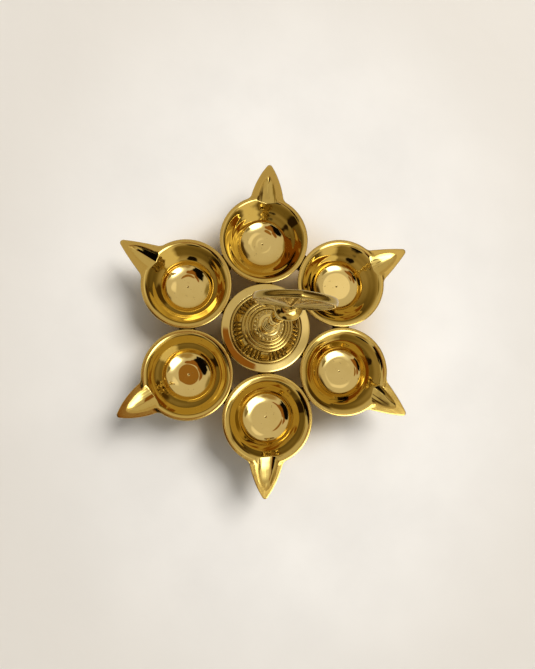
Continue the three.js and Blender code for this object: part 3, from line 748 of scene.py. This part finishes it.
class LAMP_OT_cups(bpy.types.Operator):
    """Build the six cups with their spouts"""

    bl_idname = "lamp.cups"
    bl_label = "Cups"

    def execute(self, context):
        settings = context.scene.lamp_settings
        cup = in_millimetres(settings.cup)
        pitch = 2 * cup.rim_radius + cup.rim_gap
        finish = finish_named("cast_brass_polished")
        for index, values in enumerate(CUPS):
            own = CupShape(*values)
            spoke = math.radians(90 + 60 * index)
            piece = cup_mesh(f"cup_{index + 1}_bowl_and_spout", settings, own, index)
            away = Vector((math.cos(spoke), math.sin(spoke), 0)) * pitch * MM
            facing = Matrix.Rotation(spoke + math.radians(own.turn), 4, "Z")
            place = Matrix.Translation(away) @ facing
            settle(piece, finish, f"lamp_cup_{index + 1}", place)
        return {"FINISHED"}


class LAMP_OT_lugs(bpy.types.Operator):
    """Build the brazed lugs between the rims"""

    bl_idname = "lamp.lugs"
    bl_label = "Brazed Lugs"

    def execute(self, context):
        for kind in ("inner", "outer"):
            for index in range(1, 7):
                node = f"{kind}_lug_{index}"
                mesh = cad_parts[node].data.copy()
                mesh.materials.clear()
                piece = bpy.data.objects.new(f"{kind}_braze_{index}", mesh)
                context.scene.collection.objects.link(piece)
                remesh = piece.modifiers.new("run metal", "REMESH")
                remesh.mode = "VOXEL"
                remesh.voxel_size = 0.4 * MM
                remesh.use_smooth_shade = True
                smooth = piece.modifiers.new("melted corners", "SMOOTH")
                smooth.factor = 0.6
                smooth.iterations = 5
                dress(piece, finish_named("braze_oxidised"), node)
        return {"FINISHED"}


# Centre piece. Half the angle of a plain panel, the turn of the first panel and the flange's
# worn side are in degrees, and the radii of the turned rings in millimetres.

PANEL_HALF = 9.2
PANEL_TURN = 7
WORN_SIDE = 215
REEDS = 4
DOME_RINGS = (13.5, 11.8, 10.1)


def reed_pattern(angles, panels):
    """Relief round the reeded band, 1 on the crests and 0 in the grooves: plain panels with
    narrow reeds between each pair."""
    sector = 360 / panels
    place = (np.degrees(angles) - PANEL_TURN + sector / 2) % sector - sector / 2
    off_panel = np.abs(place) - PANEL_HALF
    reed_pitch = (sector - 2 * PANEL_HALF) / REEDS
    reed = 0.5 - 0.5 * np.cos(2 * math.pi * off_panel / reed_pitch)
    return np.where(off_panel < 0, unit(-off_panel / 1.3) ** 0.7, reed**0.8)


class LAMP_OT_centre(bpy.types.Operator):
    """Build the bell base and the reeded dome"""

    bl_idname = "lamp.centre"
    bl_label = "Base and Dome"

    def execute(self, context):
        settings = context.scene.lamp_settings
        cup = in_millimetres(settings.cup)
        size = in_millimetres(settings.centre)
        finish = finish_named("cast_brass_polished")
        settle(self.base(cup, size), finish, "centre_base")
        settle(self.dome(settings, size), finish, "reeded_dome")
        return {"FINISHED"}

    def base(self, cup, size):
        """The base: a flange with a seat for the dome, on a hollow bell."""
        waist = -size.waist_depth
        deck = -size.seat_depth - size.deck
        rim = cup.rim_radius
        inner_waist = size.waist_radius - size.wall
        corners = [
            (size.bore_radius, deck),
            (size.bore_radius, -size.seat_depth),
            (size.seat_radius, -size.seat_depth, 0.2),
            (size.seat_radius, 0, 0.3),
            (rim, -size.flange_fall, cup.rim_round),
            (rim, -2.3, 0.5),
            (rim - 1, -2.3, 0.4),
            (size.shoulder_radius, -size.shoulder_drop, 3),
            (size.waist_radius, waist + size.waist_band, 0.8),
            (size.waist_radius, waist, 0.8),
            ((size.waist_radius + size.foot_radius) / 2, (waist + GROUND) / 2, 2.5),
            (size.foot_radius, size.foot_edge + 0.3 + GROUND, 0.6),
            (size.foot_radius, GROUND, 0.3),
            (size.foot_radius - size.wall, GROUND, 0.3),
            (inner_waist, waist, 1),
            (inner_waist, waist + size.waist_band, 1),
            (size.shoulder_radius - size.wall, deck, 1),
            (size.bore_radius, deck),
        ]
        angles = full_turn(160)
        rings = rings_of(refined(softened(corners, 0.3), 0.6), angles)
        radius = np.hypot(rings[..., 0], rings[..., 1])
        on_flange = unit((radius - size.seat_radius) / (rim - size.seat_radius))
        on_flange = on_flange * (rings[..., 2] > -1.1) * (radius > size.seat_radius + 0.01)
        worn = 0.5 + 0.5 * np.cos(angles - math.radians(WORN_SIDE))
        rings[..., 2] -= size.flange_uneven * worn * on_flange
        # The bell base is painted partly in the deeper shaded tone.
        return skin("bell_base", rings, joined=True, toned=0.4)

    def dome(self, settings, size):
        """The dome: a bead, the reeded band and the turned rings."""
        outer = size.seat_radius - size.fit_gap
        inner = outer - size.bead_width
        seat = size.fit_gap - size.seat_depth
        below = [
            (size.bore_radius, seat),
            (outer, seat, 0.2),
            (outer, size.bead_height, 0.65),
            (inner, size.bead_height, 0.65),
            (inner, 0.3, 0.15),
        ]
        share = np.linspace(0, 1, 26)
        band_radius = inner + (size.reed_top_radius - inner) * share
        band_radius = band_radius + size.reed_bulge * np.sin(math.pi * share)
        band = np.stack([band_radius, 0.3 + (size.reed_top - 0.3) * share], axis=1)
        above = [tuple(band[-1])]
        for step, radius in enumerate(DOME_RINGS):
            low = size.reed_top + step * size.ring_rise
            above += [(radius + 0.4, low + 0.1, 0.15), (radius + 0.38, low + 0.85, 0.35)]
            above += [(radius - 0.42, low + 1.02, 0.3), (radius - 0.72, low + 0.92, 0.15)]
        above += [(size.dome_top_radius, size.dome_top, 0.3), (size.bore_radius, size.dome_top)]
        lower = refined(softened(below, 0.2), 0.6)
        upper = refined(softened(above, 0.3, 6), 0.5)
        angles = full_turn(336)
        rings = rings_of(np.concatenate([lower[:-1], band, upper[1:]]), angles)
        crest = reed_pattern(angles, settings.panels)
        fade = unit(np.minimum(share, 1 - share) / 0.07)[:, None]
        cut = size.reed_relief * (1 - crest) * fade / band_radius[:, None]
        reeded = slice(len(lower) - 1, len(lower) - 1 + len(band))
        rings[reeded, :, :2] *= 1 - cut[..., None]
        # Painted shade: dark in the grooves between the reeds and in the crease at the band's foot, a little
        # dark all over, and the whole dome in the deeper shaded tone and filed brass.
        grime = np.zeros(rings.shape[:2])
        grime[reeded] = 0.85 * unit(1.15 - 2.2 * crest) * fade
        grime[len(lower) - 3 : len(lower)] = 0.6
        grime = np.maximum(grime, 0.2)
        return skin("dome_reeded", rings, joined=True, grime=grime, toned=1, filed=0.7)


# Stem and plate. The stem's turned outlines are (radius, share of the way up the piece), and
# the plate's ribs fan over an angle in degrees.

LOWER_STEM = [
    (4.1, 0), (4.1, 0.045), (3.3, 0.07), (3.9, 0.12), (3.6, 0.17), (2.2, 0.22),
    (3.1, 0.245), (3.1, 0.275), (2, 0.31), (2.8, 0.385), (2.8, 0.415), (1.9, 0.44),
    (2.6, 0.58), (1.9, 0.72), (2.6, 0.745), (2.6, 0.775), (1.9, 0.81), (2.1, 0.91),
    (2.8, 0.94), (2.8, 1),
]
UPPER_STEM = [
    (2.8, 0), (2.8, 0.04), (2, 0.06), (2.5, 0.14), (3.1, 0.24), (2.9, 0.34), (2, 0.46),
    (2.7, 0.475), (2.7, 0.495), (2, 0.51), (2, 0.62), (2.6, 0.635), (2.6, 0.655), (1.9, 0.67),
    (2.1, 0.8), (3.2, 0.955), (3.2, 1),
]
RIB_FAN = 150
RIBS = 9


class LAMP_OT_stem(bpy.types.Operator):
    """Build the pearl collar, the two stem pieces and the knob"""

    bl_idname = "lamp.stem"
    bl_label = "Collar, Stem and Knob"

    def execute(self, context):
        settings = context.scene.lamp_settings
        centre = in_millimetres(settings.centre)
        size = in_millimetres(settings.stem)
        gap = centre.fit_gap
        finish = finish_named("turned_brass_bright")
        settle(self.collar(settings, centre, size), finish, "pearl_collar")
        for part, shape, bottom, top, softness, step in (
            ("lower", LOWER_STEM, size.collar_top + gap, size.split, 0.55, 0.4),
            ("upper", UPPER_STEM, size.split + gap, size.knob_base, 0.8, 0.5),
        ):
            rows = [(radius, bottom + (top - bottom) * share) for radius, share in shape]
            corners = [(0.1, bottom), *rows, (0.1, top)]
            piece = turned(f"stem_{part}_turning", corners, softness, sides=64, step=step)
            settle(piece, finish, f"stem_{part}")
        low = size.knob_base + gap
        wide = size.knob_radius
        high = size.knob_height
        corners = [
            (0.1, low),
            (3.2, low, 0.3),
            (3.9, low + 0.22 * high, 0.3),
            (wide, low + 0.4 * high, 0.7),
            (wide, low + 0.66 * high, 0.9),
            (0.62 * wide, low + 0.95 * high, 1),
            (0.4 * wide, low + high, 0.4),
            (0.1, low + high),
        ]
        # The knob is painted in the deeper shaded tone and filed brass, as shade that dims its highlights.
        knob = turned("knob_turning", corners, 0.3, sides=72, step=0.4, toned=0.8, filed=0.5)
        settle(knob, finish, "stem_knob")
        return {"FINISHED"}

    def collar(self, settings, centre, size):
        """A turned collar with a ring of pearls round it."""
        bottom = centre.dome_top + centre.fit_gap
        lip = centre.dome_top_radius - 0.8
        core = size.pearl_ring - 0.15
        edge = size.collar_top_radius
        corners = [
            (centre.bore_radius, bottom),
            (lip, bottom, 0.2),
            (lip, bottom + 0.9, 0.35),
            (size.collar_neck, bottom + 1.6, 0.5),
            (size.collar_neck, size.pearl_height - 1.1, 0.3),
            (core, size.pearl_height - 0.8, 0.2),
            (core, size.pearl_height + 0.8, 0.2),
            (edge, size.pearl_height + 1.1, 0.3),
            (edge, size.collar_top - 0.6, 0.5),
            (edge - 0.8, size.collar_top, 0.4),
            (centre.bore_radius, size.collar_top),
        ]
        piece = turned("collar_with_pearls", corners, 0.3, step=0.4, joined=True)
        shape = bmesh.new()
        shape.from_mesh(piece.data)
        for place in ring(size.pearl_ring, size.pearl_height, full_turn(settings.pearls)) * MM:
            bmesh.ops.create_uvsphere(
                shape, u_segments=16, v_segments=10, radius=size.pearl_radius * MM,
                matrix=Matrix.Translation(place),
            )
        shape.to_mesh(piece.data)
        shape.free()
        piece.data.shade_smooth()
        return piece


def plate_outline(size, bottom):
    """The plate's edge drawn upright, as (sideways, height) points once round."""
    half = size.half_width
    low_pull = bottom + 0.3 * (size.widest - bottom)
    high_pull = size.widest + 0.62 * (size.top - size.widest)
    spans = [
        [(size.neck_half, bottom), (0.62 * half, bottom), (half, low_pull), (half, size.widest)],
        [(half, size.widest), (half, high_pull), (0.42 * half, size.top - 1.2), (0, size.top)],
    ]
    share = np.linspace(0, 1, 40)[:, None]
    right = np.concatenate(
        [
            (1 - share) ** 3 * first
            + 3 * share * (1 - share) ** 2 * pull
            + 3 * share**2 * (1 - share) * push
            + share**3 * last
            for first, pull, push, last in np.array(spans, float)
        ]
    )
    left = right[::-1] * (-1, 1)
    return np.concatenate([right, left[1:]])


class LAMP_OT_plate(bpy.types.Operator):
    """Build the upright plate with its raised border and fanned ribs"""

    bl_idname = "lamp.plate"
    bl_label = "Ribbed Plate"

    def execute(self, context):
        settings = context.scene.lamp_settings
        stem = in_millimetres(settings.stem)
        gap = settings.centre.fit_gap / MM
        size = in_millimetres(settings.plate)
        bottom = stem.knob_base + 2 * gap + stem.knob_height
        root = bottom + size.root_rise
        outline = plate_outline(size, bottom)
        rays = full_turn(288)
        edge_angle = np.unwrap(np.arctan2(outline[:, 1] - root, outline[:, 0]))
        edge_reach = np.hypot(outline[:, 0], outline[:, 1] - root)
        start = edge_angle[0]
        on_edge = (rays - start) % (2 * math.pi) + start
        reach = np.interp(on_edge, edge_angle, edge_reach, period=2 * math.pi)
        share = np.concatenate([np.linspace(0.03, 0.8, 26), np.linspace(0.82, 0.995, 22)])
        distance = share[:, None] * reach
        to_edge = reach - distance
        lean = (np.degrees(rays) + 90) % 360 - 180
        rib_step = RIB_FAN / (RIBS - 1)
        nearest = np.clip(np.round(lean / rib_step), -(RIBS // 2), RIBS // 2) * rib_step
        beside = np.abs(distance * np.sin(np.radians(lean - nearest)))
        rib_half = size.rib_half * (0.3 + 0.7 * distance / (size.top - root))
        rib = unit(1.15 - beside / rib_half) * (np.abs(lean - nearest) < 60)
        border = unit((size.rim_width + 0.5 - to_edge) / 0.6)
        border = border * border * (3 - 2 * border)
        field = size.web / 2 + (size.rib_thickness - size.web) / 2 * rib**0.6
        thick = blend_max(field, border * size.rim_thickness / 2, 0.3)
        thick = thick * np.sqrt(1 - (1 - unit(to_edge / 0.9)) ** 2)
        front = np.stack([distance * np.cos(rays), -thick, root + distance * np.sin(rays)], axis=-1)
        tip = np.stack([reach * np.cos(rays), 0 * rays, root + reach * np.sin(rays)], axis=-1)
        rings = np.concatenate([front, tip[None], front[::-1] * (1, -1, 1)])
        # Painted shade: dark in the field between the ribs, most near the border, a dark share over the whole
        # plate, and the plate in the deeper shaded tone and filed brass.
        low = unit(1.2 - rib - border) * np.clip(2 - to_edge / 4, 0.2, 1)
        grime = np.concatenate([0.5 * low, np.zeros((1, len(rays))), 0.5 * low[::-1]])
        grime = np.maximum(grime, 0.34)
        plate = skin("plate_ribbed", rings, grime=grime, toned=0.95, filed=0.8)
        place = Matrix.Rotation(settings.plate_turn, 4, "Z")
        settle(plate, finish_named("cast_brass_polished"), "finial_plate", place)
        return {"FINISHED"}


class LAMP_OT_fastening(bpy.types.Operator):
    """Finish the stud, washer and nut under the dome"""

    bl_idname = "lamp.fastening"
    bl_label = "Stud, Washer and Nut"

    def execute(self, context):
        for node in ("tie_stud", "base_washer", "base_nut"):
            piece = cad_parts[node]
            piece.data.materials.clear()
            piece.data.materials.append(finish_named("steel_turned"))
        return {"FINISHED"}


# Stage, in metres, watts and radians

FLOOR_RADIUS = 3.0
FLOOR_DROP = 0.05 * MM
WINDOW_SIZE = 2.2
WINDOW_PLACE = (2.0, 1.7, 3.4)
WINDOW_POWER = 190
ROOM_COLOUR = "#F4F0EA"
ROOM_LIGHT = 0.33
BACKDROP_LIGHT = 0.9
CAMERA_LENS = 26.906
CAMERA_PLACE = (-0.025278, -0.023201, 0.302398)
CAMERA_TURN = (0.07197, -0.09282, -0.01953)

# What the brass shows of the room: its colour by height, from the horizon at 0 to straight up
# at 1, then patches over it as compass angle from +X, tilt from straight up, the angles where
# the patch is full and where it ends, its colour, its strength and how wavy its edge is.
ROOM_HEIGHTS = [(0.0, "#4A3A1C"), (0.22, "#7E6A3E"), (0.45, "#AD9870"), (0.7, "#CFC0A6"), (0.95, "#D5C8B4")]
ROOM_PATCHES = [
    (313, 30, 4, 21, "#FFFCF6", 1.6, 0.1),
    (313, 27, 3, 14, "#FFFFFF", 6.0, 0.1),
    (311, 42, 3, 12, "#FFFFFF", 5.0, 0.1),
    (34, 17, 4, 9, "#FFF2E0", 1.0, 0.1),
    (30, 62, 16, 26, "#4E3917", 1.0, 0.25),
    (306, 68, 14, 24, "#EFDDB6", 1.0, 0.2),
    (338, 38, 5, 9, "#8C7E60", 1.0, 0.25),
    (272, 36, 6, 14, "#A88C5E", 1.0, 0.25),
    (160, 48, 5, 16, "#8D7A4A", 1.0, 0.2),
    (186, 2.5, 3.5, 5, "#9A6D33", 1.0, 0.1),
    (180, 13.5, 4, 5.5, "#93602A", 1.0, 0.1),
    (244, 12.5, 4.5, 6, "#93602A", 1.0, 0.1),
    (220, 18.5, 7.5, 9, "#93602A", 1.0, 0.1),
    (196, 27, 7, 10, "#0C0906", 1.0, 0.3),
    (219, 32, 9, 12, "#0C0906", 1.0, 0.3),
    (206, 50, 10, 15, "#2A1D0C", 1.0, 0.3),
    (253, 60, 9, 13, "#171006", 1.0, 0.2),
    (205, 84, 7, 12, "#2A1D0C", 1.0, 0.3),
]


class LAMP_OT_stage(bpy.types.Operator):
    """Build the floor, the light, the room and the camera"""

    bl_idname = "lamp.stage"
    bl_label = "Stage"

    def execute(self, context):
        scene = context.scene
        self.floor(scene)
        self.window(scene)
        self.surroundings(scene)
        view = bpy.data.cameras.new("view_from_above")
        view.sensor_width = 36
        view.lens = CAMERA_LENS
        camera = bpy.data.objects.new("view_from_above", view)
        camera.location = CAMERA_PLACE
        camera.rotation_euler = CAMERA_TURN
        scene.collection.objects.link(camera)
        scene.camera = camera
        scene.view_settings.view_transform = "Standard"
        return {"FINISHED"}

    def floor(self, scene):
        mesh = bpy.data.meshes.new("plaster_floor")
        edge = ring(FLOOR_RADIUS, 0, full_turn(96)).tolist()
        mesh.from_pydata(edge, [], [tuple(range(len(edge)))])
        mesh.materials.append(plaster_finish(scene.lamp_settings))
        piece = bpy.data.objects.new("plaster_floor", mesh)
        piece.location.z = -FLOOR_DROP
        scene.collection.objects.link(piece)

    def window(self, scene):
        """Soft light from one side, which the brass itself doesn't mirror."""
        light = bpy.data.lights.new("soft_window", "AREA")
        light.shape = "SQUARE"
        light.size = WINDOW_SIZE
        light.energy = WINDOW_POWER
        light.color = linear("#FFFBF7")[:3]
        window = bpy.data.objects.new("soft_window", light)
        window.location = WINDOW_PLACE
        window.rotation_euler = (-Vector(WINDOW_PLACE)).to_track_quat("-Z", "Y").to_euler()
        window.visible_glossy = False
        scene.collection.objects.link(window)

    def surroundings(self, scene):
        """A pale even room for the light, and a second one that the brass mirrors: a pale
        ceiling over dim warm walls, with a window's glow and soft darker patches."""
        world = bpy.data.worlds.new("pale_room")
        add = empty_tree(world)
        towards = add("TexCoord").outputs["Generated"]
        height = add("SeparateXYZ", {"Vector": towards}).outputs["Z"]
        shown = add("ValToRGB", {"Fac": height})
        stops = shown.color_ramp.elements
        while len(stops) < len(ROOM_HEIGHTS):
            stops.new(0.5)
        for stop, (place, tint) in zip(stops, ROOM_HEIGHTS):
            stop.position = place
            stop.color = linear(tint)
        # Noise about zero bends the patches' edges.
        wobble = add("TexNoise", {"Vector": towards, "Scale": 5.0, "Detail": 1.5, "Roughness": 0.4})
        halves = {0: wobble.outputs["Color"], 1: (-0.5, -0.5, -0.5)}
        shifted = add("VectorMath", halves, operation="ADD")
        for compass, tilt, inner, outer, tint, strength, wavy in ROOM_PATCHES:
            lean = math.radians(tilt)
            centre = ring(math.sin(lean), math.cos(lean), math.radians(compass)).tolist()
            moved = {0: shifted, 1: (wavy, wavy, wavy), 2: towards}
            moved = add("VectorMath", moved, operation="MULTIPLY_ADD")
            seen = add("VectorMath", {0: moved}, operation="NORMALIZE")
            near = add("VectorMath", {0: seen, 1: centre}, operation="DOT_PRODUCT")
            ends, full = (math.cos(math.radians(angle)) for angle in (outer, inner))
            span = {"Value": near, "From Min": ends, "From Max": full}
            inside = add("MapRange", span, interpolation_type="SMOOTHSTEP")
            patch = scaled(linear(tint), strength)
            shown = add("Mix", {"Factor": inside, "A": shown, "B": patch}, data_type="RGBA")
        mirrored = add("Background", {"Color": shown, "Strength": 1.0})
        plain, backdrop = (
            add("Background", {"Color": linear(ROOM_COLOUR), "Strength": strength})
            for strength in (ROOM_LIGHT, BACKDROP_LIGHT)
        )
        ray = add("LightPath").outputs
        behind = add("MixShader", {"Fac": ray["Is Camera Ray"], 1: plain, 2: backdrop})
        either = add("MixShader", {"Fac": ray["Is Glossy Ray"], 1: behind, 2: mirrored})
        add("OutputWorld", {"Surface": either})
        scene.world = world


OPERATORS = [
    LAMP_OT_cups,
    LAMP_OT_lugs,
    LAMP_OT_centre,
    LAMP_OT_stem,
    LAMP_OT_plate,
    LAMP_OT_fastening,
    LAMP_OT_stage,
]


class LAMP_PT_sidebar(bpy.types.Panel):
    """Buttons for each part of the lamp"""

    bl_idname = "LAMP_PT_sidebar"
    bl_label = "Cup Lamp"
    bl_space_type = "VIEW_3D"
    bl_region_type = "UI"
    bl_category = "Cup Lamp"

    def draw(self, context):
        column = self.layout.column()
        for operator in OPERATORS:
            column.operator(operator.bl_idname)


CLASSES = [CupSizes, SpoutSizes, CentreSizes, StemSizes, PlateSizes, LampSettings]


def register():
    for kind in (*CLASSES, *OPERATORS, LAMP_PT_sidebar):
        bpy.utils.register_class(kind)
    bpy.types.Scene.lamp_settings = PointerProperty(type=LampSettings)


def unregister():
    del bpy.types.Scene.lamp_settings
    for kind in reversed((*CLASSES, *OPERATORS, LAMP_PT_sidebar)):
        bpy.utils.unregister_class(kind)


def main():
    register()
    bpy.ops.lamp.cups()
    bpy.ops.lamp.lugs()
    bpy.ops.lamp.centre()
    bpy.ops.lamp.stem()
    bpy.ops.lamp.plate()
    bpy.ops.lamp.fastening()
    bpy.ops.lamp.stage()


if __name__ == "__main__":
    main()
